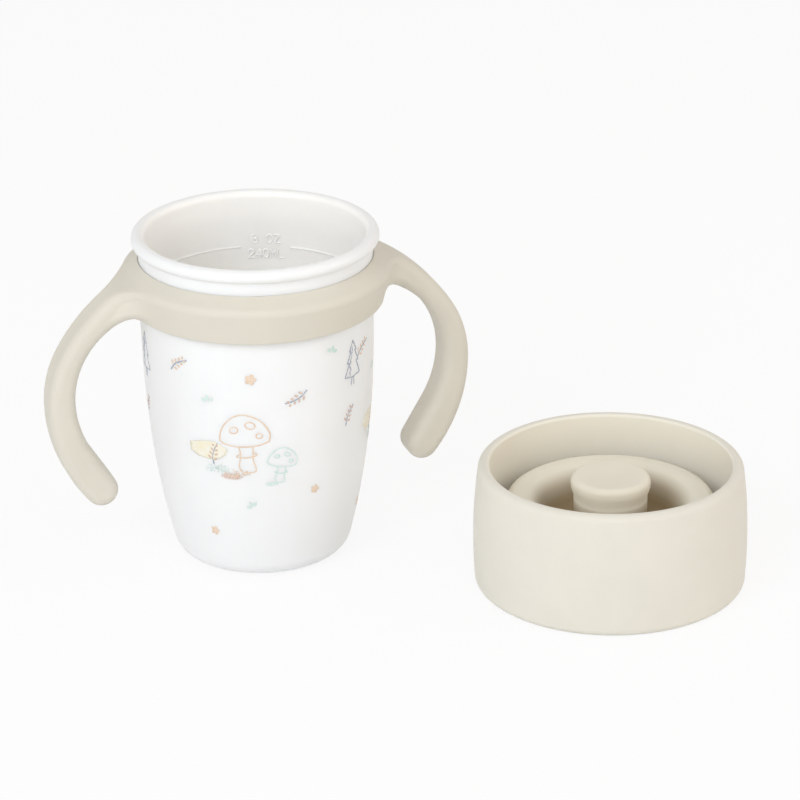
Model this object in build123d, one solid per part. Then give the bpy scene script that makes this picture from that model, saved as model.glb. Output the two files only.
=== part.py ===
from build123d import *
import math
import os

# Training cup with its lid taken off. Millimetres, +Z up, floor at zero.
# The origin is the middle of the cup's flat base, and the handles lie along X.

# Cup
cup_height = 102.7
neck_radius = 35.0
bead_overhang = 2.0  # how far the rolled bead stands out round the mouth
rim_radius = neck_radius + bead_overhang
wall = 2.1
floor_thickness = 2.8
waist_inset = 2.5
waist_radius = neck_radius - waist_inset
waist_height = 0.332 * cup_height
foot_inset = 9.5
foot_radius = neck_radius - foot_inset  # where side and base would meet without the corner
foot_corner = 6.6
foot_lean = 17.0  # degrees that the side leans out at the base
fill_drop = 17.9  # how far the full mark lies below the rim
fill_height = cup_height - fill_drop
fill_line_rise = 0.35
fill_line_width = 0.9
label_angle = 68.0  # where the fill line leaves room for its numbers
label_half_angle = 13.5

# Handle ring
ring_clearance = 0.25
ring_height = 14.4
ring_drop = 22.1
ring_bottom = cup_height - ring_drop
ring_shoulder_radius = neck_radius + 5.4
ring_shoulder_drop = 4.6
ring_slope_radius = neck_radius + 4.5
ring_slope_drop = 3.0
ring_foot_radius = neck_radius + 3.0
ring_shoulder_round = 2.4
ring_edge_round = 0.6
snap_rise = 0.6
snap_width = 2.4

# Handles, drawn in the plane of radius and height, in proportion to their reach
grip_reach = 30.92  # how far a handle stands out from the neck
handle_reach = neck_radius + grip_reach
handle_reach_height = ring_bottom - 0.8406 * grip_reach
handle_thickness = 0.2636 * grip_reach
grip_rise = 0.0637 * grip_reach
outer_top_radius = 1.0834 * grip_reach
outer_top_angle = 31.8
outer_slope_radius = 1.9308 * grip_reach  # straighter stretch below the root
slope_start_radius = ring_slope_radius + 0.1455 * grip_reach
root_top_drop = 2.7  # how far the root's inner top lies below the ring's top
outer_low_radius = 1.5621 * grip_reach
inner_top_radius = 0.8415 * grip_reach
inner_low_radius = 1.0239 * grip_reach
root_round = 0.22 * grip_reach
root_drop = 0.5  # how far the root's underside hangs below the ring
root_overlap = 2.4  # how deep the root lies in the ring's wall
tip_radius = 0.1617 * grip_reach
tip_angle = 39.7
handle_width = 0.3881 * grip_reach
handle_edge_round = 0.2667 * handle_width
root_flare = 0.3881 * grip_reach
flare_seat_radius = ring_slope_radius  # round that the flared root meets

# Lid collar
lid_stand_off = 1.84  # from the lid's side to the circle that the handles sweep
lid_angle = -33.91
lid_height = 38.1
lid_rim_radius = rim_radius + 2.3
lid_mid_radius = rim_radius + 3.86
lid_foot_radius = rim_radius + 3.5
lid_distance = handle_reach + lid_mid_radius + lid_stand_off
lid_corner = 2.5
lip_width = 3.2
lip_outer_round = 2.1
lip_inner_round = 0.9
mouth_draft = 0.3
socket_clearance = 0.3
snap_hold = 0.4  # how far the lid's snap ribs reach under the bead
lid_snap_width = 1.6
lid_snap_arc = 40.0
lid_snaps = 4
seat_height = 9.2  # gasket face above the lid's foot
deck_thickness = 2.4
gasket_lip = 0.8
gasket_lip_drop = 1.3

# Seal ring
gasket_thickness = 1.6
gasket_width = 4.4  # from the outside of the cup's bead inwards
gasket_inner_radius = rim_radius - gasket_width
gasket_clearance = 0.2

# Valve disc
trough_width = 4.9  # open ring between the valve's skirt and the drinking lip
valve_radius = lid_rim_radius - lip_width - trough_width
valve_wall = 1.8
valve_height = 14.6  # crest above the deck
crest_round = 2.9
knob_radius = 11.9
stem_radius = knob_radius - 0.9
shoulder_radius = 0.7 * valve_radius  # where the dome turns down into the valley
shoulder_height = 0.78 * valve_height
valley_radius = knob_radius + 3.6
valley_height = 3.6  # valley above the deck
valley_round = 3.5
knob_height = 20.7  # flat top above the deck
knob_head = 2.4  # straight side of the knob below its top
knob_neck = 4.2  # height of the curve from the knob's side in to its stem
knob_top_round = 1.8
knob_dish = 0.6
plug_clearance = 0.1
plug_length = 4.6
plug_shoulder_radius = 7.5
seat_clearance = 0.1

# Flow ports and hub in the deck
ports = 6
port_radius = 0.625 * valve_radius
port_width = 8.0
port_arc = 26.0
hub_hole_radius = 4.6


def turned(outline):
    """A solid turned about the Z axis from an outline of radius and height."""
    return revolve(Plane.XZ * make_face(outline), Axis.Z)


def edge_at(solid, radius, height):
    """The circular edges of a solid about Z at a radius and height."""
    near = []
    for edge in solid.edges().filter_by(GeomType.CIRCLE):
        if abs(edge.radius - radius) < 0.02 and abs(edge.center(CenterOf.BOUNDING_BOX).Z - height) < 0.02:
            near.append(edge)
    return near


def side_curve(inset, bottom, lean_shift):
    """The barrel side of the cup from neck to base, moved in by the wall."""
    lean = math.radians(foot_lean)
    low = (foot_radius + bottom * math.tan(lean) - lean_shift, bottom)
    return Spline(
        (neck_radius - inset, ring_bottom),
        (waist_radius - inset, waist_height),
        low,
        tangents=[(0, -1), (-math.sin(lean), -math.cos(lean))],
    )


def cup_solid(inset, bottom, top, corner):
    """The filled shape of the cup's outside, or of its hollow when inset."""
    lean_shift = inset / math.cos(math.radians(foot_lean))
    side = side_curve(inset, bottom, lean_shift)
    low = side @ 1
    edges = [
        Line((0, top), (neck_radius - inset, top)),
        Line((neck_radius - inset, top), (neck_radius - inset, ring_bottom)),
        side,
        Line((low.X, low.Y), (0, bottom)),
        Line((0, bottom), (0, top)),
    ]
    body = turned(edges)
    return fillet(edge_at(body, low.X, bottom), corner)


def cup_bead():
    """The rolled bead round the mouth, a full round as wide as wall and overhang."""
    bead = (rim_radius - neck_radius + wall) / 2
    section = Plane.XZ * Pos(rim_radius - bead, cup_height - bead) * Circle(bead)
    return revolve(section, Axis.Z)


def neck_snap(rise, width):
    """The low rib round the neck, which the ring's groove turns on."""
    middle = ring_bottom + ring_height / 2
    root = neck_radius - wall / 2
    outline = Polyline(
        (root, middle - width / 2),
        (neck_radius, middle - width / 2),
        (neck_radius + rise, middle - width / 2 + rise),
        (neck_radius + rise, middle + width / 2 - rise),
        (neck_radius, middle + width / 2),
        (root, middle + width / 2),
        close=True,
    )
    return turned(outline)


def fill_line():
    """The raised line inside at the full mark, open where the numbers stand."""
    inner = neck_radius - wall
    outline = Polyline(
        (inner + wall / 2, fill_height - fill_line_width / 2),
        (inner, fill_height - fill_line_width / 2),
        (inner - fill_line_rise, fill_height),
        (inner, fill_height + fill_line_width / 2),
        (inner + wall / 2, fill_height + fill_line_width / 2),
        close=True,
    )
    section = Plane.XZ * make_face(outline)
    sweep_angle = 360 - 2 * label_half_angle
    line = revolve(section, Axis.Z, revolution_arc=sweep_angle)
    return Rot(0, 0, label_angle + label_half_angle) * line


def cup_body():
    """The white cup: barrel, neck, bead, snap rib and fill line in one moulding."""
    bead = (rim_radius - neck_radius + wall) / 2
    outside = cup_solid(0, 0, cup_height - bead, foot_corner)
    hollow = cup_solid(wall, floor_thickness, cup_height, foot_corner - wall)
    shell = outside + cup_bead() - hollow
    return shell + neck_snap(snap_rise, snap_width) + fill_line()


def ring_blank():
    """The ring without its bore: sloped top, round shoulder and tapered wall."""
    top = ring_bottom + ring_height
    outline = Polyline(
        (0, ring_bottom),
        (ring_foot_radius, ring_bottom),
        (ring_shoulder_radius, top - ring_shoulder_drop),
        (ring_slope_radius, top - ring_slope_drop),
        (neck_radius + ring_clearance, top),
        (0, top),
        close=True,
    )
    ring = turned(outline)
    shoulder = edge_at(ring, ring_shoulder_radius, top - ring_shoulder_drop)
    ring = fillet(shoulder, ring_shoulder_round)
    return fillet(edge_at(ring, ring_foot_radius, ring_bottom), ring_edge_round)


def cross_tangent(first, first_radius, second, second_radius):
    """Ends of the line that leaves one circle on its left and the other on its right."""
    away = second - first
    turn = math.acos((first_radius + second_radius) / away.length)
    aim = math.atan2(away.Y, away.X) + turn
    unit = Vector(math.cos(aim), math.sin(aim))
    return first + unit * first_radius, second - unit * second_radius


def handle_profile():
    """Side view of a handle: four outer arcs in a smooth row, round tip, and the finger side."""
    level = handle_reach_height
    widest = Vector(handle_reach, level)
    top_centre = Vector(handle_reach - outer_top_radius, level)
    low_centre = Vector(handle_reach - outer_low_radius, level)
    root_radius = ring_slope_radius - root_overlap
    root_top = Vector(root_radius, ring_bottom + ring_height - root_top_drop)
    slope_aim = math.radians(outer_top_angle)
    slope_way = Vector(math.cos(slope_aim), math.sin(slope_aim))
    slope_low = top_centre + slope_way * outer_top_radius
    slope_centre = slope_low - slope_way * outer_slope_radius
    high_aim = math.acos((slope_start_radius - slope_centre.X) / outer_slope_radius)
    high_way = Vector(math.cos(high_aim), math.sin(high_aim))
    slope_high = slope_centre + high_way * outer_slope_radius
    across = root_top - slope_high
    shoulder_centre = slope_high + high_way * (across.length**2 / (2 * across.dot(high_way)))

    tip_aim = math.radians(-tip_angle)
    tip_way = Vector(math.cos(tip_aim), math.sin(tip_aim))
    tip_centre = low_centre + tip_way * (outer_low_radius - tip_radius)
    tip_outside = low_centre + tip_way * outer_low_radius

    inside = handle_reach - handle_thickness
    inner_level = level + grip_rise
    inner_top_centre = Vector(inside - inner_top_radius, inner_level)
    inner_low_centre = Vector(inside - inner_low_radius, inner_level)
    low_inner, tip_inside = cross_tangent(inner_low_centre, inner_low_radius, tip_centre, tip_radius)

    root_level = ring_bottom - root_drop
    round_centre_height = root_level - root_round
    reach = inner_top_radius - root_round
    lift = round_centre_height - inner_top_centre.Y
    round_centre = Vector(inner_top_centre.X + math.sqrt(reach**2 - lift**2), round_centre_height)
    round_way = (round_centre - inner_top_centre).normalized()
    round_start = inner_top_centre + round_way * inner_top_radius
    round_end = round_centre + Vector(0, root_round)

    return [
        ThreePointArc(root_top, arc_middle(shoulder_centre, root_top, slope_high), slope_high),
        ThreePointArc(slope_high, arc_middle(slope_centre, slope_high, slope_low), slope_low),
        ThreePointArc(slope_low, arc_middle(top_centre, slope_low, widest), widest),
        ThreePointArc(widest, arc_middle(low_centre, widest, tip_outside), tip_outside),
        ThreePointArc(tip_outside, tip_centre + (tip_way.rotate(Axis.Z, -90)) * tip_radius, tip_inside),
        Line(tip_inside, low_inner),
        ThreePointArc(
            low_inner,
            arc_middle(inner_low_centre, low_inner, Vector(inside, inner_level)),
            Vector(inside, inner_level),
        ),
        ThreePointArc(
            Vector(inside, inner_level),
            arc_middle(inner_top_centre, Vector(inside, inner_level), round_start),
            round_start,
        ),
        ThreePointArc(round_start, arc_middle(round_centre, round_start, round_end), round_end),
        Line(round_end, Vector(root_radius, root_level)),
        Line(Vector(root_radius, root_level), root_top),
    ]


def arc_middle(centre, start, end):
    """The point of an arc halfway between two of its points."""
    way = ((start - centre).normalized() + (end - centre).normalized()).normalized()
    return centre + way * (start - centre).length


def handle_plan():
    """Plan of a handle: a strip that flares out to the ring by tangent arcs."""
    half = handle_width / 2
    ring = flare_seat_radius
    flare_height = half + root_flare
    flare_x = math.sqrt((ring + root_flare) ** 2 - flare_height**2)
    share = ring / (ring + root_flare)
    touch = Vector(flare_x * share, flare_height * share)
    end = Vector(flare_x, half)
    centre = Vector(flare_x, flare_height)
    far = handle_reach + tip_radius
    upper = [
        Line((0, touch.Y), touch),
        ThreePointArc(touch, arc_middle(centre, touch, end), end),
        Line(end, (far, half)),
        Line((far, half), (far, 0)),
        Line((far, 0), (0, 0)),
        Line((0, 0), (0, touch.Y)),
    ]
    face = make_face(upper)
    return face + mirror(face, Plane.XZ)


def handle():
    """One handle on the +X side, rounded along its edges, open at its lower end."""
    side = extrude(Plane.XZ * make_face(handle_profile()), amount=2 * handle_width, both=True)
    plan = extrude(handle_plan(), amount=cup_height)
    blank = side & plan
    root = ring_slope_radius - root_overlap
    rims = []
    for edge in blank.edges():
        middle = edge.center()
        if abs(middle.Y) > handle_width / 2 - 0.1 and middle.X > root + root_overlap / 2:
            rims.append(edge)
    return fillet(rims, handle_edge_round)


def ring_bore():
    """The hole of the ring with the groove that runs on the neck's snap rib."""
    bore = neck_radius + ring_clearance
    hole = Pos(0, 0, ring_bottom - root_drop) * Cylinder(
        bore, ring_height + 2 * root_drop, align=(Align.CENTER, Align.CENTER, Align.MIN)
    )
    middle = ring_bottom + ring_height / 2
    depth = bore + snap_rise
    half = snap_width / 2 + ring_clearance
    outline = Polyline(
        (0, middle - half),
        (bore, middle - half),
        (depth, middle - half + snap_rise),
        (depth, middle + half - snap_rise),
        (bore, middle + half),
        (0, middle + half),
        close=True,
    )
    return hole + turned(outline)


def handle_ring():
    """The ring and its two handles in one moulding."""
    one = handle()
    blank = ring_blank() + one + Rot(0, 0, 180) * one
    return blank - ring_bore()


def lid_place():
    """Where the lid stands beside the cup."""
    angle = math.radians(lid_angle)
    return Pos(lid_distance * math.cos(angle), lid_distance * math.sin(angle), 0)


def socket_radius():
    """The lid's socket, which slides over the cup's bead."""
    return rim_radius + socket_clearance


def mouth_radius(height):
    """The inside of the drinking collar at a height, narrower downwards."""
    drop = (lid_height - height) / (lid_height - seat_height)
    return lid_rim_radius - lip_width - mouth_draft * drop


def collar_wall():
    """The turned collar: bulged side, full round foot corner and drinking lip."""
    deck_under = seat_height + gasket_thickness
    deck_top = deck_under + deck_thickness
    socket = socket_radius()
    foot_start = lid_foot_radius - lid_corner
    nose = Vector(max(socket, foot_start), 0)
    corner_centre = Vector(foot_start, math.sqrt(lid_corner**2 - (nose.X - foot_start) ** 2))
    side_start = Vector(lid_foot_radius, corner_centre.Y)
    edges = [
        ThreePointArc(nose, arc_middle(corner_centre, nose, side_start), side_start),
        ThreePointArc(side_start, (lid_mid_radius, lid_height / 2), (lid_rim_radius, lid_height)),
        Line((lid_rim_radius, lid_height), (mouth_radius(lid_height), lid_height)),
        Line((mouth_radius(lid_height), lid_height), (mouth_radius(deck_top), deck_top)),
        Line((mouth_radius(deck_top), deck_top), (0, deck_top)),
        Line((0, deck_top), (0, deck_under)),
        Line((0, deck_under), (socket, deck_under)),
        Line((socket, deck_under), (socket, 0)),
    ]
    if nose.X > socket:
        edges.append(Line((socket, 0), nose))
    wall_solid = turned(edges)
    outer_lip = edge_at(wall_solid, lid_rim_radius, lid_height)
    wall_solid = fillet(outer_lip, lip_outer_round)
    inner_lip = edge_at(wall_solid, mouth_radius(lid_height), lid_height)
    return fillet(inner_lip, lip_inner_round)


def gasket_lip_ring():
    """The low lip under the deck that keeps the gasket in its place."""
    deck_under = seat_height + gasket_thickness
    outer = gasket_inner_radius - gasket_clearance / 2
    lip = Cylinder(outer, gasket_lip_drop, align=(Align.CENTER, Align.CENTER, Align.MAX))
    inside = Cylinder(
        outer - gasket_lip, gasket_lip_drop, align=(Align.CENTER, Align.CENTER, Align.MAX)
    )
    return Pos(0, 0, deck_under) * (lip - inside)


def lid_snap():
    """One snap rib inside the socket, which clicks under the cup's bead."""
    bead = (rim_radius - neck_radius + wall) / 2
    inner = rim_radius - snap_hold
    reach = inner - (rim_radius - bead)
    touch = seat_height - bead - math.sqrt(bead**2 - reach**2)
    middle = touch - socket_clearance - lid_snap_width / 2
    socket = socket_radius()
    root = socket + snap_hold
    rise = socket - inner
    outline = Polyline(
        (root, middle - lid_snap_width / 2 - rise),
        (socket, middle - lid_snap_width / 2 - rise),
        (inner, middle - lid_snap_width / 2),
        (inner, middle + lid_snap_width / 2),
        (socket, middle + lid_snap_width / 2 + rise),
        (root, middle + lid_snap_width / 2 + rise),
        close=True,
    )
    return revolve(Plane.XZ * make_face(outline), Axis.Z, revolution_arc=lid_snap_arc)


def deck_ports():
    """The arc slots that let the drink up under the valve, and the hub hole."""
    deck_under = seat_height + gasket_thickness
    holes = extrude(Circle(hub_hole_radius), amount=deck_thickness)
    for number in range(ports):
        start = number * 360 / ports
        slot = SlotArc(CenterArc((0, 0), port_radius, start - port_arc / 2, port_arc), port_width)
        holes += extrude(slot, amount=deck_thickness)
    return Pos(0, 0, deck_under) * holes


def lid_collar():
    """The drinking collar with its deck, gasket lip and snap ribs, one moulding."""
    body = collar_wall() + gasket_lip_ring()
    for number in range(lid_snaps):
        body += Rot(0, 0, number * 360 / lid_snaps) * lid_snap()
    return lid_place() * (body - deck_ports())


def seal_ring():
    """The flat silicone gasket under the deck, with a rounded sealing face."""
    outer = socket_radius() - gasket_clearance
    outline = Polyline(
        (gasket_inner_radius, seat_height),
        (outer, seat_height),
        (outer, seat_height + gasket_thickness),
        (gasket_inner_radius, seat_height + gasket_thickness),
        close=True,
    )
    ring = turned(outline)
    faces = edge_at(ring, gasket_inner_radius, seat_height) + edge_at(ring, outer, seat_height)
    return lid_place() * fillet(faces, gasket_thickness / 3)


def valve_top():
    """Outer outline of the valve from the skirt's foot to the middle of the knob."""
    deck = seat_height + gasket_thickness + deck_thickness
    crest = deck + valve_height
    crest_centre = Vector(valve_radius - crest_round, crest - crest_round)
    skirt_foot = Vector(valve_radius, deck + seat_clearance)
    skirt_top = Vector(valve_radius, crest_centre.Y)
    crest_point = crest_centre + Vector(0, crest_round)
    shoulder = Vector(shoulder_radius, deck + shoulder_height)
    valley = Vector(valley_radius, deck + valley_height)
    stem_foot = Vector(stem_radius, deck + valley_height + valley_round)
    top = deck + knob_height
    neck_high = Vector(knob_radius, top - knob_head)
    neck_low = Vector(stem_radius, top - knob_head - knob_neck)
    return [
        Line(skirt_foot, skirt_top),
        ThreePointArc(skirt_top, crest_centre + Vector(1, 1).normalized() * crest_round, crest_point),
        Spline(crest_point, shoulder, valley, tangents=[(-1, 0), (-1, 0)]),
        Spline(valley, stem_foot, tangents=[(-1, 0), (0, 1)]),
        Line(stem_foot, neck_low),
        Spline(neck_low, neck_high, tangents=[(0, 1), (0, 1)]),
        Line(neck_high, (knob_radius, top)),
        Line((knob_radius, top), (0, top)),
        Line((0, top), (0, deck)),
        Line((0, deck), skirt_foot),
    ]


def valve_hollow():
    """The space under the dome, one wall inside its outline, round the plug."""
    deck = seat_height + gasket_thickness + deck_thickness
    crest = deck + valve_height
    inner = valve_radius - valve_wall
    inner_round = crest_round - valve_wall
    centre = Vector(inner - inner_round, crest - crest_round)
    under_crest = centre + Vector(0, inner_round)
    under_shoulder = Vector(shoulder_radius, deck + shoulder_height - valve_wall)
    under_valley = Vector(valley_radius, deck + valley_height - valve_wall)
    return turned(
        [
            Line((inner, deck), (inner, centre.Y)),
            ThreePointArc((inner, centre.Y), centre + Vector(1, 1).normalized() * inner_round, under_crest),
            Spline(under_crest, under_shoulder, under_valley, tangents=[(-1, 0), (-1, 0)]),
            Line(under_valley, (plug_shoulder_radius, under_valley.Y)),
            Line((plug_shoulder_radius, under_valley.Y), (plug_shoulder_radius, deck)),
            Line((plug_shoulder_radius, deck), (inner, deck)),
        ]
    )


def valve_plug():
    """The plug under the knob, which pushes into the hub of the deck."""
    deck = seat_height + gasket_thickness + deck_thickness
    radius = hub_hole_radius - plug_clearance
    plug = Pos(0, 0, deck) * Cylinder(
        radius, plug_length, align=(Align.CENTER, Align.CENTER, Align.MAX)
    )
    return chamfer(edge_at(plug, radius, deck - plug_length), radius / 5)


def valve_disc():
    """The silicone valve: knob, valley, dome and skirt, with its plug below."""
    deck = seat_height + gasket_thickness + deck_thickness
    top = deck + knob_height
    body = turned(valve_top())
    rims = edge_at(body, knob_radius, top)
    body = fillet(rims, knob_top_round)
    dish_flat = knob_radius - knob_top_round
    dish_radius = (dish_flat**2 + knob_dish**2) / (2 * knob_dish)
    dish = Pos(0, 0, top + dish_radius - knob_dish) * Sphere(dish_radius)
    lift = Pos(0, 0, deck) * Cylinder(
        plug_shoulder_radius, seat_clearance, align=(Align.CENTER, Align.CENTER, Align.MIN)
    )
    body = body - dish - valve_hollow() - lift + valve_plug() + hub_stub()
    return lid_place() * body


def hub_stub():
    """The short length of plug between the deck's face and the valve's shoulder."""
    deck = seat_height + gasket_thickness + deck_thickness
    radius = hub_hole_radius - plug_clearance
    return Pos(0, 0, deck) * Cylinder(
        radius, seat_clearance, align=(Align.CENTER, Align.CENTER, Align.MIN)
    )


os.makedirs("parts", exist_ok=True)
export_step(cup_body(), "parts/cup_body.step")
export_step(handle_ring(), "parts/handle_ring.step")
export_step(lid_collar(), "parts/lid_collar.step")
export_step(seal_ring(), "parts/seal_ring.step")
export_step(valve_disc(), "parts/valve_disc.step")
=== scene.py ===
"""Looks of a training cup: the white cup, its turning handle ring, and the lid beside it.

Lengths in the classes are millimetres, as a mould maker writes them. SCALE turns them into metres
where a mesh is made. The cup stands on the floor at the origin, and the handles lie along X.
"""

import logging
import math
from dataclasses import dataclass, field
from enum import Enum

import bmesh
import bpy
import numpy as np
from mathutils import Matrix, Vector


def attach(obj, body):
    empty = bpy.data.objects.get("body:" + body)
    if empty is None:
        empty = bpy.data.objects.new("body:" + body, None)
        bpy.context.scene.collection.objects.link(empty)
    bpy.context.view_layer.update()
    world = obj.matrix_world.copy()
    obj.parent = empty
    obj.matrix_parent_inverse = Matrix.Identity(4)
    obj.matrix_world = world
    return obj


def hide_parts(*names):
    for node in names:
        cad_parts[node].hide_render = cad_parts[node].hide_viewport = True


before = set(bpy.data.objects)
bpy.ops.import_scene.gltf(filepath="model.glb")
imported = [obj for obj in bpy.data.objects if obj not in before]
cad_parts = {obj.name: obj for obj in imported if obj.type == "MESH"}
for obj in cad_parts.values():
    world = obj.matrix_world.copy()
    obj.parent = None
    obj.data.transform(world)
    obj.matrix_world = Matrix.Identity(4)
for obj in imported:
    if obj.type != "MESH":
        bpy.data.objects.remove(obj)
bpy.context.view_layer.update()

SCALE = 0.001

log = logging.getLogger("training_cup")
Array = np.ndarray
Colour = tuple[float, float, float]
Point = tuple[float, float, float]
Spot = tuple[float, float]
Socket = bpy.types.NodeSocket
HALF_TURN = np.array([-1.0, -1.0, 1.0])


# ---- meshes from grids


@dataclass
class Shell:
    """Vertices and quads of one or more grids that make up a piece."""

    points: list[Array] = field(default_factory=list)
    faces: list[Array] = field(default_factory=list)
    count: int = 0

    def add(
        self, grid: Array, wrap_rows: bool = False, wrap_columns: bool = False, flip: bool = False
    ) -> None:
        """Adds a grid of points and the quads that join its neighbours.

        Args:
            grid: Rows of points, in millimetres.
            wrap_rows: Whether the last row joins the first.
            wrap_columns: Whether a row's last point joins its first.
            flip: Whether the faces are turned round.
        """
        rows, columns = grid.shape[:2]
        row = np.arange(rows if wrap_rows else rows - 1)
        column = np.arange(columns if wrap_columns else columns - 1)
        r, c = np.meshgrid(row, column, indexing="ij")
        here, ahead, beside = r * columns, (r + 1) % rows * columns, (c + 1) % columns
        quads = np.stack([here + c, here + beside, ahead + beside, ahead + c], -1).reshape(-1, 4)
        self.points.append(grid.reshape(-1, 3))
        self.faces.append((quads[:, ::-1] if flip else quads) + self.count)
        self.count += rows * columns

    def piece(self, name: str, material: bpy.types.Material, weld: float) -> bpy.types.Object:
        """Makes the smooth shaded Blender object, at the origin.

        Args:
            name: Name of the piece.
            material: Its only material.
            weld: Distance in millimetres under which vertices become one, for seams and poles.

        Returns:
            The object, linked to the scene.
        """
        mesh = bpy.data.meshes.new(name)
        vertices = np.concatenate(self.points) * SCALE
        mesh.from_pydata(vertices.tolist(), [], np.concatenate(self.faces).tolist())
        work = bmesh.new()
        work.from_mesh(mesh)
        bmesh.ops.remove_doubles(work, verts=work.verts, dist=weld * SCALE)
        work.to_mesh(mesh)
        work.free()
        mesh.validate()
        mesh.shade_smooth()
        mesh.materials.append(material)
        item = bpy.data.objects.new(name, mesh)
        bpy.context.scene.collection.objects.link(item)
        log.info("%s: %d faces", name, len(mesh.polygons))
        return item


def triples(items: object, key: str) -> Array:
    """A vector property of many items, one row for each."""
    values = np.empty(len(items) * 3)
    items.foreach_get(key, values)
    return values.reshape(-1, 3)


def lay_normals(mesh: bpy.types.Mesh, spots: Array, normals: Array, near: float = 0.004) -> None:
    """Gives the vertices within near of some places, in millimetres, the normals given there."""
    given = np.zeros((len(mesh.vertices), 3))
    points = triples(mesh.vertices, "co") / SCALE
    for spot, normal in zip(spots, normals):
        given[np.abs(points - spot).sum(1) < near] = normal
    mesh.normals_split_custom_set_from_vertices(given.tolist())


def unit(vectors: Array) -> Array:
    """Vectors brought to length one."""
    return vectors / np.maximum(np.linalg.norm(vectors, axis=-1, keepdims=True), 1e-9)


def polar(radius: Array, angle: Array, height: Array | None = None) -> Array:
    """Points at radii and angles in radians, as x, y and, where it is given, height."""
    flat = [radius * np.cos(angle), radius * np.sin(angle)]
    return np.stack(flat if height is None else [*flat, height + 0 * flat[0]], -1)


def arc(centre: Spot, radius: float, start: float, end: float, count: int) -> Array:
    """Points of an arc: centre plus radius times (cos, sin) of degrees from start to end."""
    return np.array(centre) + polar(radius, np.radians(np.linspace(start, end, count)))


def resample(line: Array, count: int) -> Array:
    """A line's points moved to equal steps, each column read at equal shares of arc length."""
    step = np.linalg.norm(np.diff(line, axis=0), axis=1)
    length = np.concatenate([[0.0], np.cumsum(step)])
    wanted = np.linspace(0.0, length[-1], count)
    return np.stack([np.interp(wanted, length, column) for column in line.T], -1)


def rounded(corners: list[tuple[float, float, float]], step: float) -> Array:
    """A closed outline with round corners.

    A corner's arc touches both sides at radius times the tangent of half the turning angle from
    the corner, and the straight stretches between arcs are cut into steps.

    Args:
        corners: The corners in order, each as x, y and radius.
        step: Greatest length of a straight piece.

    Returns:
        The points of the outline, the first not repeated.
    """
    least_round, finer = 0.3, 0.35
    spots = np.array([c[:2] for c in corners])
    outline: list[Array] = []
    for number, (x, y, radius) in enumerate(corners):
        here = np.array([x, y])
        back = unit(spots[number - 1] - here)
        ahead = unit(spots[(number + 1) % len(corners)] - here)
        half = math.acos(float(np.clip(back @ ahead, -1, 1))) / 2
        reach = radius / math.tan(half)
        middle = here + unit(back + ahead) * radius / math.sin(half)
        bend_length = (math.pi - 2 * half) * max(radius, least_round)
        count = max(2, int(bend_length / (step * finer)) + 2)
        share = np.linspace(0, 1, count)[:, None]
        blend = (here + back * reach) * (1 - share) + (here + ahead * reach) * share - middle
        outline.append(middle + unit(blend) * radius)
    joined: list[Array] = []
    for number, bend in enumerate(outline):
        following = outline[(number + 1) % len(outline)]
        gap = np.linalg.norm(following[0] - bend[-1])
        count = max(1, int(math.ceil(gap / step)))
        share = (np.arange(1, count) / count)[:, None]
        joined += [bend, bend[-1] * (1 - share) + following[0] * share]
    return np.concatenate(joined)


# ---- shader building


class Graph:
    """Adds and joins nodes of one shader tree."""

    def __init__(self, tree: bpy.types.NodeTree) -> None:
        """Keeps the tree that the nodes go into."""
        self.tree = tree

    def node(self, kind: str, **settings: object) -> bpy.types.Node:
        """Adds a node and sets its properties, and its inputs where a name starts with in_."""
        made = self.tree.nodes.new(kind)
        for name, value in settings.items():
            if name.startswith("in_"):
                self.feed(made.inputs[name[3:].replace("_", " ")], value)
            else:
                setattr(made, name, value)
        return made

    def feed(self, socket: Socket, value: object) -> None:
        """Links a socket into an input, or sets the input's own value."""
        if isinstance(value, Socket):
            self.tree.links.new(value, socket)
        else:
            socket.default_value = value

    def sum(self, operation: str, a: object, b: object = 0.0, clamp: bool = False) -> Socket:
        """The result of a Math node on two values."""
        made = self.tree.nodes.new("ShaderNodeMath")
        made.operation = operation
        made.use_clamp = clamp
        self.feed(made.inputs[0], a)
        self.feed(made.inputs[1], b)
        return made.outputs[0]

    def product(self, a: object, b: object) -> Socket:
        """Two values multiplied."""
        return self.sum("MULTIPLY", a, b)

    def place(self) -> Socket:
        """The object's own coordinates."""
        return self.node("ShaderNodeTexCoord").outputs["Object"]

    def parts(self, vector: Socket) -> object:
        """The X, Y and Z of a vector, by name."""
        return self.node("ShaderNodeSeparateXYZ", in_Vector=vector).outputs

    def noise(self, place: Socket, per_metre: float, detail: float = 2.0) -> Socket:
        """Noise in the range 0 to 1 at a number of lumps per metre."""
        settings = {"in_Vector": place, "in_Scale": per_metre, "in_Detail": detail}
        return self.node("ShaderNodeTexNoise", **settings).outputs["Fac"]

    def span(
        self, value: object, low: float, high: float, to_low: float = 0.0, to_high: float = 1.0
    ) -> Socket:
        """A value carried from one range to another, held at the ends."""
        made = self.node("ShaderNodeMapRange", clamp=True)
        for number, part in enumerate((value, low, high, to_low, to_high)):
            self.feed(made.inputs[number], part)
        return made.outputs[0]

    def group(self, skin: "Skin", **values: object) -> bpy.types.Node:
        """Places a shared node group and sets its inputs by name."""
        made = self.node("ShaderNodeGroup", node_tree=bpy.data.node_groups[skin.value])
        for name, value in values.items():
            self.feed(made.inputs[name], value)
        return made

    def blend(self, share: object, first: object, second: object) -> Socket:
        """A colour between two colours."""
        made = self.tree.nodes.new("ShaderNodeMix")
        made.data_type = "RGBA"
        self.feed(made.inputs[0], share)
        self.feed(made.inputs[6], first)
        self.feed(made.inputs[7], second)
        return made.outputs[2]


def opaque(colour: Colour) -> tuple[float, float, float, float]:
    """A colour with full alpha."""
    return (*colour, 1.0)


def shade(colour: Colour, factor: float) -> Colour:
    """A colour made darker or lighter by a factor."""
    return tuple(min(1.0, part * factor) for part in colour)


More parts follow.
